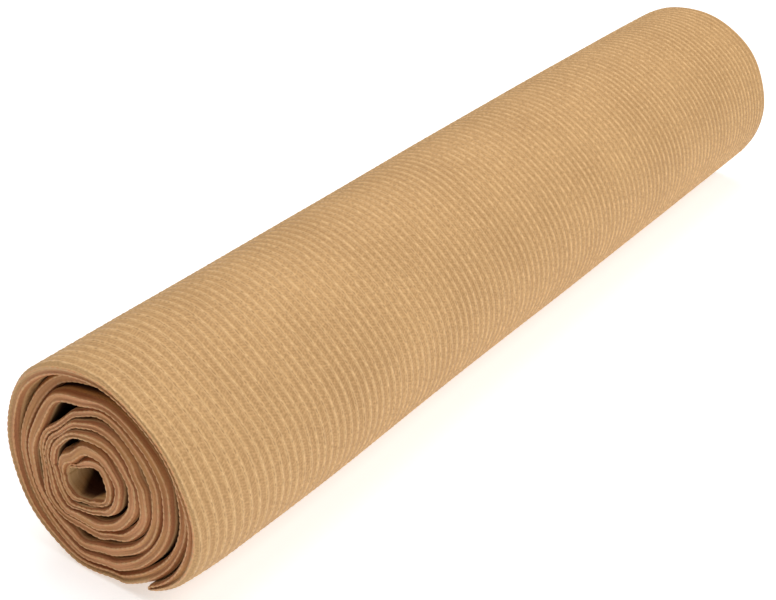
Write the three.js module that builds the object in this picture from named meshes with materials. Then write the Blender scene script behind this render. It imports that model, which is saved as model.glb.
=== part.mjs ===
// A knitted shade net, folded lengthwise in four layers and rolled up by hand, lying on the ground.
// Millimetres, +Z up. The roll lies along Y on the plane Z = 0, its shown end toward -Y, and +X is to
// the right as seen from that end. The net is wound clockwise outwards from the hollow in the middle.
// The wound form is one solid: the ribbed outside, the free end, the hollow, and the gaps between turns
// where the cloth has not pressed together.

import * as THREE from "three";

// Driving dimensions
const ROLL_LENGTH = 914;
const RIB_PITCH = 8;
const RIB_HEIGHT = 0.8;
const FLOOR_DROP = 91; // from the winding axis down to the flat spot that the roll lies on
const END_WANDER = 3; // how far the folded edges stand in or out at each end
const WANDER_RADIUS = 25; // how far out along the end one swing in and out takes, per radian

// How finely the surfaces are divided
const DEGREES_PER_STEP = 15.5;
const PLAIN_ROWS = 3; // rows of points along a wall inside the roll
const RIB_COUNT = Math.round(ROLL_LENGTH / RIB_PITCH);
const RIBBED_ROWS = 2 * RIB_COUNT + 1; // a crest and a furrow for each rib, and the last furrow

// Lines of the winding in the plane of the end. Angles are in degrees clockwise from the left, and
// radius and gap are spread evenly from the first angle to the last.
const OUTSIDE = {
  centre: [1, 2],
  angles: [258, 600],
  radius: [95.3, 99.4, 98.6, 97.7, 98.3, 98.1, 99.2, 99.8, 96.5],
};
const HOLLOW = {
  centre: [-15, -8],
  angles: [0, 360],
  radius: [21, 15, 13.5, 26, 22, 12.5, 14, 20, 21],
};
// The last gap of the winding runs out under the free end.
const OUTER_GAP = {
  centre: [0, 2],
  angles: [-68, 240],
  radius: [90, 88.5, 84.2, 85.8, 88.5, 92.3, 93, 90.5, 87.5],
  gap: [0, 1, 2, 2.5, 1.5, 2.5, 2, 1.5, 1.5],
};
const INNER_GAPS = [
  {
    name: "around the first turns",
    centre: [-8, 2],
    angles: [6, 317],
    radius: [37, 29.8, 34, 38.8, 37, 34.7, 33.4, 35.4, 44],
    gap: [0, 4.5, 3, 2, 3.5, 3, 3.5, 3, 0],
  },
  {
    name: "left",
    centre: [-8, 0],
    angles: [-42, 15],
    radius: [63.5, 60, 57.3, 56, 57.5],
    gap: [0, 3.5, 3, 2, 0],
  },
  {
    name: "top",
    centre: [-8, 0],
    angles: [44, 106],
    radius: [51.5, 54.5, 58.5, 59.5, 64.5],
    gap: [0, 6, 5.5, 2, 0],
  },
  {
    name: "right",
    centre: [-8, 0],
    angles: [136, 166],
    radius: [62, 59, 56],
    gap: [0, 4, 0],
  },
  {
    name: "lower right",
    centre: [0, 2],
    angles: [165, 230],
    radius: [83, 79.5, 77, 75.5, 75.5],
    gap: [0, 2, 2.5, 2.2, 0],
  },
  {
    name: "bottom",
    centre: [-8, 0],
    angles: [230, 307],
    radius: [53.5, 54, 58, 62.3, 61],
    gap: [0, 3.5, 1.2, 4, 0],
  },
];

const NET_MATERIAL = new THREE.MeshStandardMaterial({
  color: "#cca271",
  roughness: 0.85,
  metalness: 0,
});

// A value on the smooth curve through evenly spread values, share running from 0 to 1.
function spread(values, share) {
  const last = values.length - 1;
  const index = Math.min(Math.floor(share * last), last - 1);
  const part = share * last - index;
  const here = values[index];
  const next = values[index + 1];
  const before = values[Math.max(index - 1, 0)];
  const after = values[Math.min(index + 2, last)];
  const slopeHere = (next - before) / 2;
  const slopeNext = (after - here) / 2;
  const rise = part * part * (3 - 2 * part);
  return (
    here +
    (next - here) * rise +
    slopeHere * part * (1 - part) * (1 - part) -
    slopeNext * part * part * (1 - part)
  );
}

// Points along a line of the winding; side is -1 for a gap's inner wall, 1 for its outer wall, and 0
// for a line with no gap.
function pointsAlong(line, side) {
  const [from, to] = line.angles;
  const steps = Math.max(2, Math.round((to - from) / DEGREES_PER_STEP));
  return Array.from({ length: steps + 1 }, (_, step) => {
    const share = step / steps;
    const angle = THREE.MathUtils.degToRad(from + (to - from) * share);
    const halfGap = side === 0 ? 0 : spread(line.gap, share) / 2;
    const radius = spread(line.radius, share) + side * halfGap;
    return {
      x: line.centre[0] - radius * Math.cos(angle),
      z: line.centre[1] + radius * Math.sin(angle),
      inward: new THREE.Vector2(Math.cos(angle), -Math.sin(angle)),
      ribbed: false,
    };
  });
}

// The outline: around the ribbed outside to the free end, in along the outer gap's outer wall and back
// along its inner wall.
function outline() {
  const outside = pointsAlong(OUTSIDE, 0).map((point) => ({ ...point, ribbed: true }));
  const outerWall = pointsAlong(OUTER_GAP, 1).reverse();
  const innerWall = pointsAlong(OUTER_GAP, -1);
  return [...outside, ...outerWall, ...innerWall.slice(1)];
}

// A gap inside the roll, closed at both of its ends.
function slot(gap) {
  const outerWall = pointsAlong(gap, 1);
  const innerWall = pointsAlong(gap, -1).reverse();
  return [...outerWall, ...innerWall.slice(1, -1)];
}

function hollow() {
  return pointsAlong(HOLLOW, 0).slice(0, -1);
}

// How far the folded edge at a point of the section stands out past the end of the roll.
function standOut(point) {
  const angle = Math.atan2(point.z, point.x);
  const radius = Math.hypot(point.x, point.z);
  return END_WANDER * Math.sin(angle + radius / WANDER_RADIUS);
}

// The run of points along the roll at one point of the section, from the shown end to the far end.
function runOf(point) {
  const rows = point.ribbed ? RIBBED_ROWS : PLAIN_ROWS;
  const near = -ROLL_LENGTH / 2 - standOut(point);
  const far = ROLL_LENGTH / 2 + standOut({ x: point.z, z: point.x });
  return Array.from({ length: rows }, (_, row) => {
    const furrow = point.ribbed && row % 2 === 0 ? RIB_HEIGHT : 0;
    const z = point.z + furrow * point.inward.y;
    return new THREE.Vector3(
      point.x + furrow * point.inward.x,
      THREE.MathUtils.lerp(near, far, row / (rows - 1)),
      Math.max(z, -FLOOR_DROP),
    );
  });
}

// Triangles between two neighbouring runs, which may have different numbers of points.
function bridge(left, right) {
  const triangles = [];
  let i = 0;
  let j = 0;
  while (i < left.length - 1 || j < right.length - 1) {
    const leftShare = (i + 1) / (left.length - 1);
    const rightShare = (j + 1) / (right.length - 1);
    if (leftShare <= rightShare) {
      triangles.push(left[i], left[i + 1], right[j]);
      i += 1;
    } else {
      triangles.push(left[i], right[j + 1], right[j]);
      j += 1;
    }
  }
  return triangles;
}

// The walls of the roll and the face at each end, between the outline and the loops inside it.
function rollGeometry(outer, holes) {
  const asFlat = (loop) => loop.map((point) => new THREE.Vector2(point.x, point.z));
  const outwards = (loop, clockwise) =>
    THREE.ShapeUtils.isClockWise(asFlat(loop)) === clockwise ? loop : [...loop].reverse();
  const loops = [outwards(outer, false), ...holes.map((hole) => outwards(hole, true))];
  const runs = loops.map((loop) => loop.map(runOf));
  const corners = runs.flatMap((loop) =>
    loop.flatMap((run, index) => bridge(run, loop[(index + 1) % loop.length])),
  );

  const nearFace = runs.map((loop) => loop.map((run) => new THREE.Vector2(run[0].x, run[0].z)));
  const faces = THREE.ShapeUtils.triangulateShape(nearFace[0], nearFace.slice(1));
  const allRuns = runs.flat();
  for (const [a, b, c] of faces) {
    corners.push(allRuns[a][0], allRuns[b][0], allRuns[c][0]);
    corners.push(allRuns[a].at(-1), allRuns[c].at(-1), allRuns[b].at(-1));
  }
  return new THREE.BufferGeometry().setFromPoints(corners);
}

const roll = new THREE.Mesh(
  rollGeometry(outline(), [hollow(), ...INNER_GAPS.map(slot)]),
  NET_MATERIAL,
);
roll.name = "net_roll";

// The origin is under the middle of the roll, on the ground.
const box = new THREE.Box3().setFromObject(roll);
const middle = box.getCenter(new THREE.Vector3());
roll.position.set(-middle.x, -middle.y, -box.min.z);

const part = new THREE.Group();
part.add(roll);

export default part;
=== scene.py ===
"""A knitted shade net, folded lengthwise in four layers and rolled up by hand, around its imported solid.

The frame is in metres. The tables of the winding are in millimetres from its axis: the roll lies along Y,
its shown end toward -Y, and angles in degrees run clockwise from the left as seen from that end. A place
along the winding is counted in turns from its start in the middle. The outside and the hollow follow the
solid; the free end and some gaps are read more closely, within a few millimetres of the solid's.
"""

import math

import bpy
import numpy as np
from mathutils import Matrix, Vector

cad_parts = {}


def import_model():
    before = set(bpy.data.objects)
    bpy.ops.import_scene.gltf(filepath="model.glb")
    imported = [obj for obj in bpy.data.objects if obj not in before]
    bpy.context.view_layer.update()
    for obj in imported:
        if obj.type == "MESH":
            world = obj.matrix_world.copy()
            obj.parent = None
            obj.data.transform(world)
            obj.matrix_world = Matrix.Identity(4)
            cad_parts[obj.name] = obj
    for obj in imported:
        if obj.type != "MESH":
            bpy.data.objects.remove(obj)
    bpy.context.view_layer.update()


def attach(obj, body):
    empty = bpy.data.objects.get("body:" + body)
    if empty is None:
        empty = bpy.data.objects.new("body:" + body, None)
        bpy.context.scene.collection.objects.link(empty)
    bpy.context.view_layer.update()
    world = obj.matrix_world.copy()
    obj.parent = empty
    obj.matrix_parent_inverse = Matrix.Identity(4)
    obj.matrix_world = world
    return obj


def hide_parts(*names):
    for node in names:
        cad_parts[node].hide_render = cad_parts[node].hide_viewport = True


MM = 0.001

# The net as it is cut, in metres, and as it is folded and rolled
ROLL_LENGTH = 914
RIB_PITCH = 8
FREE_END = 242
WHOLE_TURNS = 7
TURNS = WHOLE_TURNS + FREE_END / 360
AXIS_X = -2.213  # of the winding axis, as the frame's origin is under the middle of the solid's box
FLOOR_DROP = 91  # from the winding axis down to the floor
LEAST_HEIGHT = 0.2  # of the cloth above the floor
STITCH_LEAST_HEIGHT = 0.1

# Layers of the folded strip, as shares of a turn across its thickness, from the inside out. The strip
# begins thin, and takes part of a turn to reach its full thickness.
LAYER_OFFSETS = (-0.47, -0.17, 0.16, 0.445)
START_THICKNESS = 0.25
START_TAPER = 0.4

# Folded edges at the shown end: how far the edge is set back, and how deep a groove runs along it, at each
# quarter turn from the start (left, top, right and bottom of each turn)
EDGE_SETBACK = (
    (6, 4, 2, 3),
    (3, 1, 1, 1),
    (1, 1, 2, 1),
    (1, 3, 3, 2),
    (2, 5, 4, 1),
    (1, 5, 2, 1),
    (2, 15, 5, 0),
    (0, 0, 0, 1),
)
EDGE_GROOVE = (
    (0.5, 0.5, 0.5, 0.5),
    (0.5, 0.5, 0.8, 0.5),
    (0.5, 1, 1, 0.8),
    (0.5, 1, 1, 1.2),
    (1, 0.5, 1.5, 0.5),
    (0.5, 1.2, 2, 0.5),
    (1.2, 0.5, 2.5, 2),
    (1, 1, 3.5, 3.5),
)
GROOVE_WIDTH = 0.2  # as a share of half the strip's thickness
EDGE_CRUMPLE = 0.4
CRUMPLED_TURNS = 6
FOLD_DEPTH = 0.95  # as a share of half the strip's thickness
FOLD_SQUARENESS = 2.3  # a fold with 2 is an ellipse in section

# Edges at both ends: how far the near and the far ones stand out past the roll's length, how much they
# wander, and how the inner fold and the selvedges are set back
EDGE_OVERHANG = (2, 4)
EDGE_WANDER = 1.2
FAR_WANDER = 2  # times the near edge's
INNER_FOLD_SETBACK = 6
SELVEDGE_SETBACK = (3, 7)  # of the innermost layer and of the next
SELVEDGE_BEAD = 0.7

# The free end: the part of a turn over which it rounds off, the offset that its layers come together at,
# and the share of the thickness that is left at its tip
FREE_END_ROUNDING = 0.01
FREE_END_MIDDLE = -0.2
FREE_END_TIP = 0.12

# At the shown end the cloth is drawn in around the free end and just under it: how far, about what angle
# and with what spread. The draw grows over some turns, in the free turn again, and fades along the roll.
FREE_END_DRAW = (5.9, 240, 36)
UNDER_DRAW = (3, 262, 11)
DRAWN_TURNS = (2, 6.5)
DRAWN_FREE_TURN = (7.1, 7.9)
DRAW_LENGTH = 60

# Relief of the outer turn. The ribs bow along the roll by amounts spread evenly over the turn, and the bow
# comes in over a share of the length at each end.
RIB_RISE = 0.4
RIB_WANDER = 0.4
RIB_BOW = (0, 0, 1, 2, 4, 6, 8, 9, 10, 9, 6, 1.2, -0.4, 1.2, 7, 7, 6.5, 7, 8)
RIB_BOW_START = 0.09
DENT_DEPTH = 0.6

# A soft bulge above the free end, with its place along the winding and along the roll, and how steeply it
# falls off along each. The roll narrows toward its far end. Shares are of the length, from the middle.
BULGE_HEIGHT = 1.8
BULGE_TURN = WHOLE_TURNS + 0.6
BULGE_SHARE = -0.3
BULGE_STEEPNESS = (6, 9)
FAR_NARROWING = 0.02
FAR_STRETCH = (0.1, 0.5)

# One stitch of a chain: its stations from end to end, its width and height at each, and its round section
STITCH_PITCH = 6
STITCH_WIDTH = 1.7
STITCH_HEIGHT = 0.55
STITCH_STATIONS = np.array((-0.5, -0.28, 0, 0.28, 0.5))
STITCH_WIDTHS = np.array((0.35, 0.9, 1, 0.85, 0.3))
STITCH_HEIGHTS = np.array((0.05, 0.8, 1, 0.85, 0.15))
STITCH_ROUND = np.array(((-1, -0.2), (-0.5, 0.85), (0.5, 0.85), (1, -0.2)))
CHAIN_SHIFT = 0.45  # how far a chain may lie ahead or behind, in stitches
CHAIN_SHIFT_STEP = 2.4  # radians of that swing from one chain to the next

# How finely the cloth is divided
INNER_STEP_DEGREES = 3.4
OUTER_STEPS = 97
END_STEPS = (0.4, 0.7, 0.9, 1)
RIB_COUNT = ROLL_LENGTH // RIB_PITCH
ROWS_PER_RIB = 4
FOLD_ROWS_PER_RIB = 6
FOLD_RIBS = 3
FOLD_CURVE_STEPS = 400
LAYER_STATIONS = (0.008, 0.02, 0.05, 0.1, 0.5, 0.94)
LOOP_ROWS = 5
BEAD_ROWS = 5
BEAD_START = 0.15  # of a turn round the bead
CHAIN_PIECES = 4

# Maps of the cloth: places on the flat net, and the map that textures are baked on. That one has bands for
# the outer turn's face, for the innermost layer and the folded edge, for the layers between, and for the
# outer layer of the turns inside. The face gets most of it.
CLOTH_MAP = "cloth"
BAKE_MAP = "OFBake"
BAKED_FACE = (0, 0.72)
BAKED_FIRST = (0.73, 0.87)
BAKED_SECOND = (0.88, 0.97)
BAKED_UNDER = (0.98, 1)

# Places across the flat net, in metres: a fold takes the ribs that go round it, a panel is fold to fold
FOLD_WIDTH = FOLD_RIBS * RIB_PITCH * MM
PANEL = RIB_COUNT * RIB_PITCH * MM + FOLD_WIDTH / 2

# Lines of the winding in the plane of the end, with radius and gap spread evenly over the angles. A gap
# lies outside a numbered turn of the strip.
OUTSIDE = {
    "centre": (1, 2),
    "angles": (258, 602),
    "radius": (95.3, 99.4, 98.6, 97.7, 98.3, 98.1, 99.2, 99.8, 96.5),
}
HOLLOW = {
    "centre": (-15, -8),
    "angles": (0, 360),
    "radius": (21, 15, 13.5, 26, 22, 12.5, 14, 20, 21),
}
OUTER_GAP = {
    "centre": (0, 2),
    "angles": (-68, 242),
    "radius": (90, 88.5, 84.2, 85.8, 88.5, 92.3, 92, 86.5, 88.5),
    "gap": (0, 0.6, 0.7, 0.7, 1.5, 4, 3, 2, 0.8),
    "after_turn": 6,
    "closes": False,
}
GAP_ROUND_FIRST_TURNS = {
    "centre": (-8, 2),
    "angles": (6, 317),
    "radius": (37, 29.8, 34, 38.8, 37, 34.7, 33.4, 35.4, 44),
    "gap": (0, 4.5, 3, 2, 3.5, 3, 3.5, 3, 0),
    "after_turn": 1,
    "closes": True,
}
GAP_LEFT_AND_TOP = {
    "centre": (-8, 0),
    "angles": (-42, 106),
    "radius": (63.5, 60, 57.2, 56, 54.5, 53, 53, 57, 59.5, 61, 64.5),
    "gap": (0, 6, 6, 4, 1, 0, 4.5, 9, 4, 1.5, 0),
    "after_turn": 4,
    "closes": True,
}
GAP_RIGHT = {
    "centre": (-8, 0),
    "angles": (136, 166),
    "radius": (62, 59, 56),
    "gap": (0, 4, 0),
    "after_turn": 3,
    "closes": True,
}
GAP_LOWER_RIGHT = {
    "centre": (0, 2),
    "angles": (145, 245),
    "radius": (84, 78, 75.3, 74, 74.5),
    "gap": (0, 2.5, 2.2, 1.5, 0),
    "after_turn": 5,
    "closes": True,
}
GAP_BOTTOM = {
    "centre": (-8, 0),
    "angles": (230, 307),
    "radius": (53.5, 54, 58, 62.3, 61),
    "gap": (0, 5, 2, 6.5, 0),
    "after_turn": 3,
    "closes": True,
}
GAPS = (OUTER_GAP, GAP_ROUND_FIRST_TURNS, GAP_LEFT_AND_TOP, GAP_RIGHT, GAP_LOWER_RIGHT, GAP_BOTTOM)
GAP_EASE_DEGREES = 25
NEARLY = 0.01  # degrees, so that an angle at the very end of a line still counts
WALL_STEP = 1e-6  # turns between the two walls of a gap

# Finishes, as linear colours
TAPE_DARK = (0.385, 0.21, 0.079, 1)
TAPE_LIGHT = (0.67, 0.405, 0.18, 1)
# The folded edge's colours are painted shade: darker, redder copies of the tape's colour for the roll's
# shaded end
PAINTED_FOLD_SHADE_DARK = (0.37, 0.137, 0.05, 1)
PAINTED_FOLD_SHADE_LIGHT = (0.595, 0.297, 0.108, 1)
PAINTED_FOLD_SHADE_PINK = (0.665, 0.31, 0.134, 1)
DEEP_SHADE = (0.05, 0.015, 0.006, 1)
YARN_DARK = (0.49, 0.285, 0.12, 1)
YARN_LIGHT = (0.77, 0.5, 0.24, 1)
WHITE = (1, 1, 1, 1)
FLOOR_WHITE = (0.8, 0.8, 0.8, 1)
FLOOR_GLOW = 0.5
CLOTH_SPECULAR = 0.3

# Pattern of the knitting: tapes in millimetres along the net, chains in ribs from a crest, noise per metre
TAPE_PITCH = 2.6
TAPE_SLANT = 1.5  # tapes that a zigzag crosses from rib to rib
CHAIN_FADE = (0.1, 0.3)
CHAIN_PALENESS = 0.45
SPECKLE_SCALE = 420
PATCH_SCALE = 14
PATCH_FADE = (0.4, 0.6)
YARN_SCALE = 260
YARN_FADE = (0.3, 0.7)

# How much each pattern counts, on a level: in the tapes' mottled tone, in the painted shade of the folded
# edge, in the bump and in the roughness
MOTTLE = {"level": -0.45, "tape": 0.3, "speckle": 1.2, "patches": 0.4}
FOLD_PAINTED_SHADE_AND_STREAKS = {"level": 1.6, "crease": 0.7, "streak": -2.4, "mottle": -0.3}
BUMP = {"level": 0, "tape": 0.4, "chain": 1, "speckle": 0.3, "streak": 1.5}
ROUGHNESS = {"level": 0.55, "speckle": 0.2}
BUMP_STRENGTH = 0.5
BUMP_DEPTH = 0.4
YARN_ROUGHNESS = 0.5
FLOOR_ROUGHNESS = 0.9

# Painted shade inside the roll, by the distance from an edge in millimetres where it begins and where it
# is full.
# The strip's first turn walls the hollow: painted light makes it paler and its painted shade begins
# deeper, apart from its low wall, with places along the net in metres.
SHADE_REACH = (9, 18)
HOLLOW_SHADE_REACH = (22, 35)
HOLLOW_WALL_END = (0.165, 0.185)
LOW_WALL = 0.11
LOW_WALL_FADE = (0.01, 0.03)
HOLLOW_PAINTED_LIGHT = 0.8
OUTER_TURN_FADE = 20

# The folded edge's painted shade, a darker and redder copy of the tape's colour, in millimetres across the
# net from
# its crest: where it ends, where it gives way on the outer turn's rim, and where the painted shade of the
# creases on its two sides begins and is full
FOLD_FADE = (8, 12)
RIM_FADE = (-2, 3)
INNER_CREASE_SHADE = (2, 9)
OUTER_CREASE_SHADE = (3, 10)
STREAK_SCALE = 300
STREAK_STRETCH = (0.06, 1, 1)

# Studio: the floor, the lights (place, aim, size, power) and the camera at the photograph's viewing angle
FLOOR_REACH = 12
WORLD_GLOW = 0.15
KEY_LIGHT = ((1.9, 0.1, 1.9), (0, 0, 0.1), 1.8, 40)
OVERHEAD_LIGHT = ((-1, 0.2, 3), (-0.2, 0, 0), 4, 97)
CAMERA_PLACE = (0.6805, -1.0086, 0.7665)
CAMERA_AIM = (-0.5156, 0.6818, -0.5189)
CAMERA_LENS = 68.67
CAMERA_SENSOR = 36


def ease(share):
    """A smooth step from 0 to 1."""
    share = min(max(share, 0), 1)
    return share * share * (3 - 2 * share)


def ramp(values, low, high):
    """A straight step from 0 at low to 1 at high."""
    return np.clip((values - low) / (high - low), 0, 1)


def unit(vectors):
    """Vectors scaled to a length of 1."""
    return vectors / np.linalg.norm(vectors, axis=-1, keepdims=True)


def run_lengths(points):
    """The length along a run of points, up to each of them."""
    steps = np.linalg.norm(np.diff(points, axis=0), axis=1)
    return np.concatenate(((0,), np.cumsum(steps)))


def spread(values, share):
    """A value on the smooth curve through evenly spread values, share running from 0 to 1."""
    last = len(values) - 1
    index = min(max(int(share * last), 0), last - 1)
    part = share * last - index
    here, after = values[index], values[index + 1]
    slope_here = (after - values[max(index - 1, 0)]) / 2
    slope_after = (values[min(index + 2, last)] - here) / 2
    rise = (after - here) * ease(part)
    return rise + here + slope_here * part * (1 - part) ** 2 - slope_after * part**2 * (1 - part)


def line_point(line, degrees, side=0):
    """A point (x, z) of a winding line; side is -1 or 1 for the inner or outer wall of a gap."""
    first, last = line["angles"]
    share = (degrees - first) / (last - first)
    radius = spread(line["radius"], share)
    if side:
        radius += side * spread(line["gap"], share) / 2
    angle = math.radians(degrees)
    x, z = line["centre"]
    return np.array((x - radius * math.cos(angle), max(z + radius * math.sin(angle), -FLOOR_DROP)))


def outermost(degrees):
    """The turn that is outermost at an angle, and the point of the roll's outside there."""
    if degrees < FREE_END + NEARLY:
        return WHOLE_TURNS + degrees / 360, line_point(OUTSIDE, degrees + 360)
    turn = WHOLE_TURNS - 1 + degrees / 360
    start = OUTSIDE["angles"][0]
    if degrees >= start:
        return turn, line_point(OUTSIDE, degrees)
    share = (degrees - FREE_END) / (start - FREE_END)
    under_free_end = line_point(OUTER_GAP, FREE_END, -1)
    return turn, under_free_end + share * (line_point(OUTSIDE, start) - under_free_end)


def between(turns, points, turn):
    """The point at a turn, on straight lines between known turns and points."""
    return np.array([np.interp(turn, turns, [point[axis] for point in points]) for axis in (0, 1)])


def section_knots(degrees):
    """Turns and points across the winding at an angle, from the hollow to the outside, with its gaps."""
    share = degrees / 360
    thickness = max(START_THICKNESS, ease(share / START_TAPER))
    last_turn, outside = outermost(degrees)
    turns = [share + 0.5 - thickness, last_turn + 0.5]
    points = [line_point(HOLLOW, degrees), outside]
    for gap in GAPS:
        first, last = gap["angles"]
        for angle in (degrees, degrees - 360):
            if not first < angle < last + NEARLY:
                continue
            angle = min(angle, last)
            weight = ease((angle - first) / GAP_EASE_DEGREES)
            if gap["closes"]:
                weight *= ease((last - angle) / GAP_EASE_DEGREES)
            turn = gap["after_turn"] + angle / 360 + 0.5
            closed = between(turns, points, turn)
            walls = [closed + weight * (line_point(gap, angle, side) - closed) for side in (-1, 1)]
            place = int(np.searchsorted(turns, turn))
            turns[place:place] = [turn - WALL_STEP, turn + WALL_STEP]
            points[place:place] = walls
    return turns, points, thickness


def layer_points(turn):
    """Section points of the strip's layers at a turn, from the inside out, pinched at the free end."""
    turns, points, thickness = section_knots(360 * (turn % 1))
    squeeze = thickness if turn < 1 else 1
    past = max(0, 1 - (TURNS - turn) / FREE_END_ROUNDING)
    pinch = max(FREE_END_TIP, math.sqrt(1 - past * past))
    offsets = [FREE_END_MIDDLE + (offset - FREE_END_MIDDLE) * pinch for offset in LAYER_OFFSETS]
    return [between(turns, points, turn + 0.5 - (0.5 - offset) * squeeze) for offset in offsets]


class Strip:
    """The folded strip in section: each column is a place along it, in turns, with its four layers."""

    def __init__(self):
        inner = np.arange(0, TURNS - 1, INNER_STEP_DEGREES / 360)
        outer = np.linspace(TURNS - 1, TURNS - FREE_END_ROUNDING, OUTER_STEPS + 1)
        rounding = TURNS - FREE_END_ROUNDING * (1 - np.array(END_STEPS))
        self.turns = np.concatenate((inner, outer, rounding))
        self.outer_start = len(inner)
        self.layers = np.array([layer_points(turn) for turn in self.turns]).transpose(1, 0, 2)
        self.middle = (self.layers[0] + self.layers[3]) / 2
        self.length = run_lengths(self.middle)
        travel = unit(np.gradient(self.layers[3], axis=0))
        self.outward = np.stack((-travel[:, 1], travel[:, 0]), axis=1)
        near_overhang, far_overhang = EDGE_OVERHANG
        setback = self.by_quarter(EDGE_SETBACK) + self.edge_wander(0)
        self.near = setback - ROLL_LENGTH / 2 - near_overhang
        self.far = ROLL_LENGTH / 2 + far_overhang + FAR_WANDER * self.edge_wander(2)

    def by_quarter(self, table):
        """A value for each column from a table with a value for each quarter turn."""
        values = [value for turn in table for value in turn]
        return np.array([spread(values, 4 * turn / (len(values) - 1)) for turn in self.turns])

    def hump(self, height, middle, width):
        """A rounded rise around one angle of each turn."""
        from_middle = (360 * self.turns - middle + 180) % 360 - 180
        return height * np.exp(-((from_middle / width) ** 2))

    def draw(self, offset):
        """How far the cloth at an offset across the strip is drawn in at the shown end."""
        depth = self.turns + offset
        inner_turns = ramp(depth, *DRAWN_TURNS)
        free_turn = ramp(depth, *DRAWN_FREE_TURN)
        around_end = self.hump(*FREE_END_DRAW) * (inner_turns + free_turn) / 2
        return around_end + self.hump(*UNDER_DRAW) * inner_turns**4

    def place(self, section, y, offset, columns=slice(None)):
        """Points of the frame: drawn in at the shown end, narrower at the far end, lying on the floor."""
        near = 1 - ramp(y - self.near[columns], 0, DRAW_LENGTH)
        section = section - self.outward[columns] * (self.draw(offset)[columns] * near**2)[:, None]
        scale = 1 - FAR_NARROWING * ramp(y / ROLL_LENGTH, *FAR_STRETCH) ** 2
        z = np.maximum(scale * (FLOOR_DROP + section[:, 1]), LEAST_HEIGHT)
        return np.stack((AXIS_X + scale * section[:, 0], y, z), axis=1) * MM

    def edge_wander(self, phase):
        """The small in and out of an edge along the strip, in waves that don't repeat with the turns."""
        angle = 2 * math.pi * self.turns
        slow = np.sin(1.7 * angle + phase) + 0.6 * np.sin(4.3 * angle + 2 * phase)
        return EDGE_WANDER * (slow + 0.4 * np.sin(9.1 * angle + 3 * phase)) / 1.6


class Cloth:
    """A mesh of rows of points along the strip, with each point's place on the flat net in metres."""

    def __init__(self):
        self.points = []
        self.places = []
        self.quads = []
        self.baked = []
        self.count = 0

    def add_row(self, points, along, across):
        """Adds a row and returns its point numbers."""
        numbers = np.arange(self.count, self.count + len(points))
        self.count += len(points)
        self.points.append(points)
        self.places.append(np.stack((along, np.full(len(points), across)), axis=1))
        return numbers

    def join_all(self, rows, band):
        """Fills between rows with the same number of points, across a band of the map for baking."""
        levels = np.linspace(*band, len(rows))
        side = np.linspace(0, 1, len(rows[0]))
        for first, second, low, high in zip(rows, rows[1:], levels, levels[1:]):
            self.quads.append(np.stack((first[:-1], first[1:], second[1:], second[:-1]), axis=1))
            u = np.stack((side[:-1], side[1:], side[1:], side[:-1]), axis=1)
            v = np.broadcast_to((low, low, high, high), u.shape)
            self.baked.append(np.stack((u, v), axis=-1))


def fold_profile(count):
    """How far across and how far out a rounded fold is, at even steps from its inner side to its outer."""
    angle = np.linspace(math.pi, 0, FOLD_CURVE_STEPS)
    power = 2 / FOLD_SQUARENESS
    across = np.sign(np.cos(angle)) * np.abs(np.cos(angle)) ** power
    out = np.abs(np.sin(angle)) ** power
    length = run_lengths(np.stack((across, FOLD_DEPTH * out), axis=1))
    even = np.linspace(0, length[-1], count + 1)
    return np.interp(even, length, across), np.interp(even, length, out)


def rib_rise(ribs):
    """How far the cloth is raised at a number of ribs from the near edge; a whole number is a crest."""
    return RIB_RISE * (1 + math.cos(2 * math.pi * ribs)) / 2


def dents(turns, y):
    """How far the outer turn stands in or out where rolling by hand left it uneven."""
    angle = 2 * math.pi * turns
    share = y / ROLL_LENGTH
    slow = np.sin(2 * angle + 5 * share) * np.sin(7 * share + 1)
    quick = np.sin(5 * angle - 11 * share + 2) * np.sin(17 * share)
    uneven = DENT_DEPTH * (0.7 * slow + 0.3 * quick) * np.clip(8 * (0.5 - np.abs(share)), 0, 1)
    around, along = BULGE_STEEPNESS
    fall = (around * (turns - BULGE_TURN)) ** 2 + (along * (share - BULGE_SHARE)) ** 2
    return uneven + BULGE_HEIGHT * np.exp(-fall)


def fold_rows(strip):
    """Rows over the rounded near edge, from the innermost layer out, raised where a rib crosses it."""
    half = (strip.layers[3] - strip.layers[0]) / 2
    depth = FOLD_DEPTH * np.linalg.norm(half, axis=1)
    groove = strip.by_quarter(EDGE_GROOVE)
    angle = 2 * math.pi * strip.turns
    crumple = EDGE_CRUMPLE * (np.sin(3.3 * angle + 1) + np.sin(5.7 * angle))
    crumple *= strip.turns < CRUMPLED_TURNS
    middle = strip.middle + strip.outward * crumple[:, None]
    count = FOLD_RIBS * FOLD_ROWS_PER_RIB
    rows = []
    for row, (across, out) in enumerate(zip(*fold_profile(count))):
        rise = rib_rise((row - count) / FOLD_ROWS_PER_RIB)
        section = middle + half * across + unit(half) * across * rise
        sunk = groove * math.exp(-((across / GROOVE_WIDTH) ** 2))
        offset = LAYER_OFFSETS[0] + (LAYER_OFFSETS[3] - LAYER_OFFSETS[0]) * (across + 1) / 2
        rows.append(strip.place(section, strip.near + depth * (1 - out) + sunk - out * rise, offset))
    return rows, strip.near + depth


def rib_swing(turns, share):
    """How far a rib of the outer turn swings along the roll from a true ring, at a share of the length."""
    angle = 2 * math.pi * turns
    slow = np.sin(angle + 4 * share) + 0.6 * np.sin(2 * angle - 9 * share)
    wander = slow + 0.4 * np.sin(3 * angle + 23 * share)
    bow = np.array([spread(RIB_BOW, turn - TURNS + 1) for turn in turns])
    return (RIB_WANDER * wander + bow) * ease(share / RIB_BOW_START) * ease((1 - share) / RIB_BOW_START)


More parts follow.
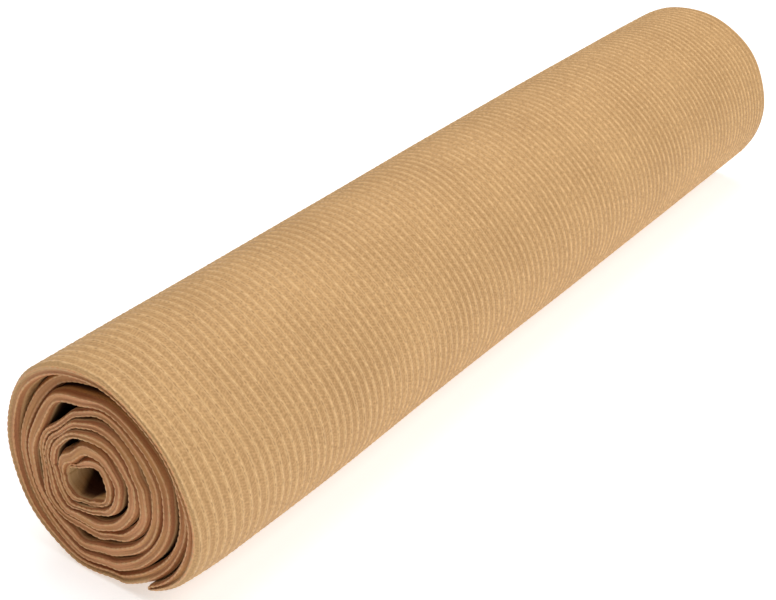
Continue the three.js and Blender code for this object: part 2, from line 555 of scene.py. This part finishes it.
def face_rows(strip, start, far):
    """Rows of the outermost turn's ribbed face, from the near edge to the far edge."""
    columns = slice(strip.outer_start, None)
    turns = strip.turns[columns]
    count = RIB_COUNT * ROWS_PER_RIB
    rows = []
    for row in range(count + 1):
        share = row / count
        y = start[columns] + (far - start)[columns] * share + rib_swing(turns, share)
        stand = rib_rise(row / ROWS_PER_RIB) + dents(turns, y)
        section = strip.layers[3][columns] + strip.outward[columns] * stand[:, None]
        rows.append(strip.place(section, y, LAYER_OFFSETS[3], columns))
    return rows


def loop_rows(strip, index, edge, way):
    """Rows round a small loop from a layer to the one inside it, past an edge; way -1 is the near end."""
    outside, inside = strip.layers[index], strip.layers[index - 1]
    half = (outside - inside) / 2
    depth = np.linalg.norm(half, axis=1)
    offset = (LAYER_OFFSETS[index] + LAYER_OFFSETS[index - 1]) / 2
    rows = []
    for step in range(LOOP_ROWS + 1):
        angle = math.pi * step / LOOP_ROWS
        section = (outside + inside) / 2 + half * math.cos(angle)
        rows.append(strip.place(section, edge + way * depth * math.sin(angle), offset))
    return rows


def bead_rows(strip, index, edge):
    """Rows round the rolled bead of a layer's selvedge at the far end, from its rim to the layer."""
    rows = []
    for step in range(BEAD_ROWS):
        angle = 2 * math.pi * (step / BEAD_ROWS + BEAD_START)
        section = strip.layers[index] + strip.outward * SELVEDGE_BEAD * math.cos(angle)
        rows.append(strip.place(section, edge + SELVEDGE_BEAD * math.sin(angle), LAYER_OFFSETS[index]))
    return rows


def build_net(strip):
    """The whole net as one folded sheet, and the rows that carry its raised chains of stitches."""
    cloth = Cloth()
    along = strip.length * MM
    outer = slice(strip.outer_start, None)
    inner = slice(0, strip.outer_start + 1)

    def layer(index, start, end, first_place, columns=slice(None)):
        rows = []
        for station in LAYER_STATIONS:
            y = start + (end - start) * station
            points = strip.place(strip.layers[index], y, LAYER_OFFSETS[index])[columns]
            rows.append(cloth.add_row(points, along[columns], first_place + PANEL * station))
        return rows

    fold, near_edge = fold_rows(strip)
    far_depth = np.linalg.norm(strip.layers[3] - strip.layers[2], axis=1) / 2
    far_edge = strip.far - far_depth
    inner_edge = near_edge + INNER_FOLD_SETBACK

    selvedge = strip.far - SELVEDGE_SETBACK[0]
    first = [cloth.add_row(points, along, 0) for points in bead_rows(strip, 0, selvedge)]
    first += layer(0, selvedge, near_edge, 0)
    for number, points in enumerate(fold):
        first.append(cloth.add_row(points, along, PANEL + FOLD_WIDTH * (number / (len(fold) - 1) - 0.5)))
    cloth.join_all(first, BAKED_FIRST)

    far_loop = loop_rows(strip, 3, far_edge, 1)
    second = [cloth.add_row(points, along, 2 * PANEL) for points in far_loop]
    second += layer(2, far_edge, inner_edge, 2 * PANEL)
    inner_loop = loop_rows(strip, 2, inner_edge, -1)
    second += [cloth.add_row(points, along, 3 * PANEL) for points in inner_loop]
    selvedge = strip.far - SELVEDGE_SETBACK[1]
    second += layer(1, inner_edge, selvedge, 3 * PANEL)
    bead = bead_rows(strip, 1, selvedge)
    second += [cloth.add_row(points, along, 4 * PANEL) for points in reversed(bead)]
    cloth.join_all(second, BAKED_SECOND)

    under = layer(3, near_edge, far_edge, PANEL + FOLD_WIDTH / 2, inner)
    cloth.join_all([first[-1][inner], *under, second[0][inner]], BAKED_UNDER)

    face = face_rows(strip, near_edge, far_edge)
    face_numbers = [first[-1][outer]]
    for row, points in enumerate(face[1:-1], 1):
        place = PANEL + FOLD_WIDTH / 2 + row / ROWS_PER_RIB * RIB_PITCH * MM
        face_numbers.append(cloth.add_row(points, along[outer], place))
    face_numbers.append(second[0][outer])
    cloth.join_all(face_numbers, BAKED_FACE)
    return cloth, fold, face


def crests(rows, first, step):
    """For each rib along rows of points, its crest line and the direction out of the cloth there."""
    lines = []
    for row in range(first, len(rows) - 1, step):
        along = np.gradient(rows[row], axis=0)
        across = rows[row + 1] - rows[row - 1]
        lines.append((rows[row], unit(np.cross(along, across))))
    return lines


def stitch_points(line, out, shift):
    """Points of the stitches along one crest line: an array of stitch, station, point round it, xyz.

    The stitches lie ahead by a shift, and the first one that lies wholly on the line begins the chain.
    """
    length = run_lengths(line)
    pitch = STITCH_PITCH * MM
    centres = np.arange(pitch * (0.5 + shift % 1), length[-1] - pitch / 2, pitch)
    places = centres[:, None] + STITCH_STATIONS * pitch
    on_line = np.stack([np.interp(places, length, line[:, axis]) for axis in range(3)], axis=-1)
    up = unit(np.stack([np.interp(places, length, out[:, axis]) for axis in range(3)], axis=-1))
    side = unit(np.cross(np.gradient(on_line, axis=1), up))
    width = STITCH_WIDTH * MM / 2 * STITCH_WIDTHS[:, None] * STITCH_ROUND[:, 0]
    height = STITCH_HEIGHT * MM * STITCH_HEIGHTS[:, None] * STITCH_ROUND[:, 1]
    points = on_line[:, :, None] + side[:, :, None] * width[..., None] + up[:, :, None] * height[..., None]
    points[..., 2] = np.maximum(points[..., 2], STITCH_LEAST_HEIGHT * MM)
    return points


def build_chains(lines, first):
    """Rows of raised stitches along crest lines, as points and faces; first numbers the first line."""
    blocks = []
    for number, (line, out) in enumerate(lines, first):
        shift = CHAIN_SHIFT * math.sin(CHAIN_SHIFT_STEP * number)
        blocks.append(stitch_points(line, out, shift))
    points = np.concatenate(blocks)
    stations, round_count = points.shape[1:3]
    grid = np.arange(stations * round_count).reshape(stations, round_count)
    corners = (grid[:-1, :-1], grid[:-1, 1:], grid[1:, 1:], grid[1:, :-1])
    pattern = np.stack(corners, axis=-1).reshape(-1, 4)
    starts = np.arange(len(points)) * grid.size
    return points.reshape(-1, 3), (starts[:, None, None] + pattern).reshape(-1, 4)


def mesh_piece(name, points, quads, finish, maps=None):
    """A smooth mesh object, with maps of its corners, that rides on the roll."""
    mesh = bpy.data.meshes.new(name)
    mesh.from_pydata(points.tolist(), [], quads.tolist())
    for map_name, corners in (maps or {}).items():
        layer = mesh.uv_layers.new(name=map_name)
        layer.data.foreach_set("uv", corners.astype(np.float32).ravel())
    mesh.materials.append(finish)
    mesh.shade_smooth()
    piece = bpy.data.objects.new(name, mesh)
    bpy.context.scene.collection.objects.link(piece)
    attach(piece, "root")
    return piece


class Wire:
    """One output of a finish's nodes; arithmetic on it adds Math nodes."""

    def __init__(self, finish, socket):
        self.finish = finish
        self.socket = socket

    def math(self, operation, *others):
        """This output and others in one sum."""
        return self.finish.math(operation, self, *others)

    def __add__(self, other):
        return self.math("ADD", other)

    __radd__ = __add__

    def __sub__(self, other):
        return self.math("SUBTRACT", other)

    def __rsub__(self, other):
        return self.finish.math("SUBTRACT", other, self)

    def __mul__(self, other):
        return self.math("MULTIPLY", other)

    __rmul__ = __mul__

    def __truediv__(self, other):
        return self.math("DIVIDE", other)

    def __neg__(self):
        return 0 - self

    def __abs__(self):
        return self.math("ABSOLUTE")

    def back_and_forth(self, size):
        """Rises and falls evenly between 0 and a size."""
        return self.math("PINGPONG", size)


class Finish:
    """A material and the nodes that make its surface."""

    def __init__(self, name):
        self.material = bpy.data.materials.new(name)
        self.material.use_nodes = True
        self.tree = self.material.node_tree
        self.surface = self.tree.nodes["Principled BSDF"]

    def node(self, kind, settings, sockets, output=0):
        """Adds a node, sets it, feeds its sockets and returns one of its outputs."""
        added = self.tree.nodes.new(kind)
        for name, value in settings.items():
            setattr(added, name, value)
        self.feed(added, sockets)
        return Wire(self, added.outputs[output])

    def feed(self, node, sockets):
        """Links wires to a node's sockets and sets its other values."""
        for name, value in sockets.items():
            if isinstance(value, Wire):
                self.tree.links.new(value.socket, node.inputs[name])
            else:
                node.inputs[name].default_value = value

    def math(self, operation, *values):
        """One sum of wires and numbers."""
        return self.node("ShaderNodeMath", {"operation": operation}, dict(enumerate(values)))

    def step(self, value, low, high):
        """A smooth step of a value from 0 at low to 1 at high."""
        sockets = {"Value": value, "From Min": low, "From Max": high}
        return self.node("ShaderNodeMapRange", {"interpolation_type": "SMOOTHSTEP"}, sockets)

    def step_mm(self, value, ends):
        """A smooth step of a value in metres between two ends in millimetres."""
        low, high = ends
        return self.step(value, low * MM, high * MM)

    def noise(self, vector, scale, detail=2):
        """A soft irregular pattern from 0 to 1."""
        return self.node("ShaderNodeTexNoise", {}, {"Vector": vector, "Scale": scale, "Detail": detail})

    def blend(self, mask, first, second):
        """A colour between two, by a mask."""
        return self.node("ShaderNodeMix", {"data_type": "RGBA"}, {0: mask, 6: first, 7: second}, 2)


def weighed(weights, **patterns):
    """Patterns added up by their weights, on a level."""
    return sum((pattern * weights[name] for name, pattern in patterns.items()), weights["level"])


def net_finish(outer_start):
    """Flat tapes laid in zigzags between the ribs, mottled, with a paler chain of stitches along each rib.

    The outer turn begins at outer_start along the net. The turns inside it darken away from the edges with
    painted shade; the folded edge carries painted shade and the hollow's wall painted light.
    """
    finish = Finish("knitted_tape")
    place = finish.node("ShaderNodeUVMap", {"uv_map": CLOTH_MAP}, {})
    along = finish.node("ShaderNodeSeparateXYZ", {}, {0: place}, "X")
    across = finish.node("ShaderNodeSeparateXYZ", {}, {0: place}, "Y")
    from_fold = across - PANEL
    inside = 1 - finish.step(along, outer_start - OUTER_TURN_FADE * MM, outer_start)

    # Tapes and chains; the folded edge's crest lies midway between two ribs
    ribs = from_fold / (RIB_PITCH * MM) + 0.5
    chain = 1 - finish.step(ribs.back_and_forth(0.5), *CHAIN_FADE)
    zigzag = along / (TAPE_PITCH * MM) + ribs.back_and_forth(1) * TAPE_SLANT
    tape = zigzag.back_and_forth(0.5)
    speckle = finish.noise(place, SPECKLE_SCALE, 3)
    patches = finish.noise(place, PATCH_SCALE)
    mottle = finish.step(weighed(MOTTLE, tape=tape, speckle=speckle, patches=patches), 0, 1)
    ground = finish.blend(mottle, TAPE_DARK, TAPE_LIGHT)
    face = finish.blend(chain * CHAIN_PALENESS, ground, YARN_LIGHT)

    # Painted light that makes the hollow's wall paler, and painted shade that darkens the turns inside
    # away from the edges
    hollow_wall = finish.step(abs(along - LOW_WALL), *LOW_WALL_FADE) - finish.step(along, *HOLLOW_WALL_END)
    face = finish.blend(hollow_wall * HOLLOW_PAINTED_LIGHT, face, YARN_LIGHT)
    reaches = zip(SHADE_REACH, HOLLOW_SHADE_REACH)
    begins, full = [(near + (deep - near) * hollow_wall) * MM for near, deep in reaches]
    edge_distance = across.back_and_forth(PANEL / 2)
    face = finish.blend(inside * finish.step(edge_distance, begins, full), face, DEEP_SHADE)

    # Painted shade on the folded edge: darker, redder copies of the tape's colour, darkest in its creases,
    # with streaks drawn out along it
    on_fold = 1 - finish.step_mm(abs(from_fold), FOLD_FADE)
    on_fold = on_fold * (1 - (1 - inside) * finish.step_mm(from_fold, RIM_FADE))
    crease = finish.step_mm(-from_fold, INNER_CREASE_SHADE) + finish.step_mm(from_fold, OUTER_CREASE_SHADE) * inside
    drawn_out = finish.node(
        "ShaderNodeVectorMath",
        {"operation": "MULTIPLY"},
        {0: place, 1: STREAK_STRETCH},
    )
    streak = finish.noise(drawn_out, STREAK_SCALE, 3)
    pale_fold_shade = finish.blend(finish.step(patches, *PATCH_FADE), PAINTED_FOLD_SHADE_LIGHT, PAINTED_FOLD_SHADE_PINK)
    fold_shade_amount = weighed(FOLD_PAINTED_SHADE_AND_STREAKS, crease=crease, streak=streak, mottle=mottle)
    folded = finish.blend(fold_shade_amount, pale_fold_shade, PAINTED_FOLD_SHADE_DARK)

    height = weighed(BUMP, tape=tape, chain=chain, speckle=speckle, streak=streak * on_fold)
    bump = finish.node(
        "ShaderNodeBump",
        {},
        {"Strength": BUMP_STRENGTH, "Distance": BUMP_DEPTH * MM, "Height": height},
    )
    sockets = {
        "Base Color": finish.blend(on_fold, face, folded),
        "Roughness": weighed(ROUGHNESS, speckle=speckle),
        "Normal": bump,
        "Specular IOR Level": CLOTH_SPECULAR,
    }
    finish.feed(finish.surface, sockets)
    return finish.material


def yarn_finish(name, dark, light):
    """Chain stitches, each a little lighter or darker than the next."""
    finish = Finish(name)
    place = finish.node("ShaderNodeTexCoord", {}, {}, "Object")
    speckle = finish.noise(place, YARN_SCALE)
    sockets = {
        "Base Color": finish.blend(finish.step(speckle, *YARN_FADE), dark, light),
        "Roughness": YARN_ROUGHNESS,
        "Specular IOR Level": CLOTH_SPECULAR,
    }
    finish.feed(finish.surface, sockets)
    return finish.material


def floor_finish():
    """Plain white, with a little light of its own."""
    finish = Finish("floor_white")
    sockets = {
        "Base Color": FLOOR_WHITE,
        "Roughness": FLOOR_ROUGHNESS,
        "Emission Color": WHITE,
        "Emission Strength": FLOOR_GLOW,
    }
    finish.feed(finish.surface, sockets)
    return finish.material


def soft_light(name, place, aim, size, power):
    """A square soft box at a place, turned to a point."""
    lamp = bpy.data.lights.new(name, "AREA")
    lamp.shape = "SQUARE"
    lamp.size = size
    lamp.energy = power
    box = bpy.data.objects.new(name, lamp)
    box.location = place
    box.rotation_euler = (Vector(aim) - Vector(place)).to_track_quat("-Z", "Y").to_euler()
    bpy.context.scene.collection.objects.link(box)


def studio():
    """The pale floor, the light and the camera."""
    mesh = bpy.data.meshes.new("floor")
    reach = FLOOR_REACH
    corners = [(-reach, -reach, 0), (reach, -reach, 0), (reach, reach, 0), (-reach, reach, 0)]
    mesh.from_pydata(corners, [], [(0, 1, 2, 3)])
    mesh.materials.append(floor_finish())
    floor = bpy.data.objects.new("floor", mesh)
    bpy.context.scene.collection.objects.link(floor)

    world = bpy.data.worlds.new("studio")
    world.use_nodes = True
    background = world.node_tree.nodes["Background"]
    background.inputs["Color"].default_value = WHITE
    background.inputs["Strength"].default_value = WORLD_GLOW
    bpy.context.scene.world = world
    soft_light("key", *KEY_LIGHT)
    soft_light("overhead", *OVERHEAD_LIGHT)
    bpy.context.scene.view_settings.view_transform = "Standard"

    camera = bpy.data.cameras.new("camera")
    camera.lens = CAMERA_LENS
    camera.sensor_width = CAMERA_SENSOR
    stand = bpy.data.objects.new("camera", camera)
    stand.location = CAMERA_PLACE
    stand.rotation_euler = Vector(CAMERA_AIM).to_track_quat("-Z", "Y").to_euler()
    bpy.context.scene.collection.objects.link(stand)
    bpy.context.scene.camera = stand


def net_piece(strip, cloth):
    """The net's mesh in place of the solid roll."""
    quads = np.concatenate(cloth.quads)
    maps = {
        CLOTH_MAP: np.concatenate(cloth.places)[quads.ravel()],
        BAKE_MAP: np.concatenate(cloth.baked),
    }
    finish = net_finish(strip.length[strip.outer_start] * MM)
    net = mesh_piece("shade_net", np.concatenate(cloth.points), quads, finish, maps)
    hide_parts("net_roll")
    return net


def chain_pieces(strip, fold, face):
    """The chains of stitches along the folded edge, and those of the face, in a few pieces."""
    yarn = yarn_finish("chain_yarn", YARN_DARK, YARN_LIGHT)
    # The stitches on the folded edge take its painted shade, a darker and redder copy of the yarn's colour
    painted_shade_fold_yarn = yarn_finish("painted_shade_fold_yarn", PAINTED_FOLD_SHADE_PINK, TAPE_LIGHT)
    near_rim = fold[-2][strip.outer_start :]
    face_lines = crests([near_rim, *face], 1, ROWS_PER_RIB)
    fold_lines = crests(fold, FOLD_ROWS_PER_RIB, FOLD_ROWS_PER_RIB)
    share = math.ceil(len(face_lines) / CHAIN_PIECES)
    chains = [mesh_piece("edge_chains", *build_chains(fold_lines, 0), painted_shade_fold_yarn)]
    for number in range(CHAIN_PIECES):
        lines = face_lines[number * share : (number + 1) * share]
        chains.append(mesh_piece(f"chains_{number + 1}", *build_chains(lines, number * share), yarn))
    return chains


def main():
    """Dresses the solid roll as the net."""
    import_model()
    studio()

    strip = Strip()
    cloth, fold, face = build_net(strip)
    net = net_piece(strip, cloth)
    chains = chain_pieces(strip, fold, face)


main()
